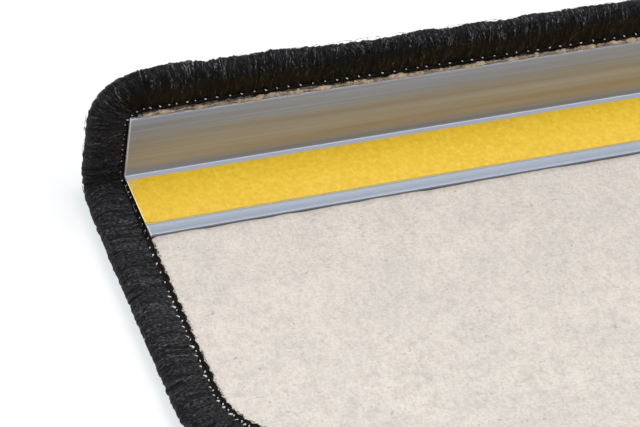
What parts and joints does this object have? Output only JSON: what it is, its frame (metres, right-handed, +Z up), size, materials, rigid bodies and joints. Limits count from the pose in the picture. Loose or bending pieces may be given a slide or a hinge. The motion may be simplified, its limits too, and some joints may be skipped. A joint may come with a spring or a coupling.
{
  "type": "half-round stair tread mat",
  "caption": "Half-round carpet stair tread mat with felt underside, whipped edge, nose flap and taped aluminium angle for the step's front edge.",
  "frame": {"origin": "under the middle of the mat's footprint, on the surface it lies on, pile down", "axes": "+X along the nose, +Y out through the nose flap, +Z up, away from the pile"},
  "size_m": [0.65, 0.24, 0.0456],
  "materials": {
    "pile": "short dense charcoal pile",
    "felt": "cream needled felt, softly mottled",
    "yarn": "black whipping yarn, slightly fuzzy",
    "thread": "white needle thread",
    "chain": "dark brown-black looper yarn",
    "aluminium": "extruded, matt anodised, drawn lengthwise",
    "bond": "double-sided bonding tape",
    "tape": "pale double-sided tape",
    "liner": "yellow coated release paper"
  },
  "bodies": {
    "root": {"carpet_pile": "pile", "felt_backing": "felt", "edge_whipping": "yarn", "needle_thread": "thread", "looper_chain": "chain", "angle_profile": "aluminium", "bond_strip_tread": "bond", "bond_strip_flap": "bond", "adhesive_tape": "tape", "release_liner": "liner"}
  },
  "joints": []
}
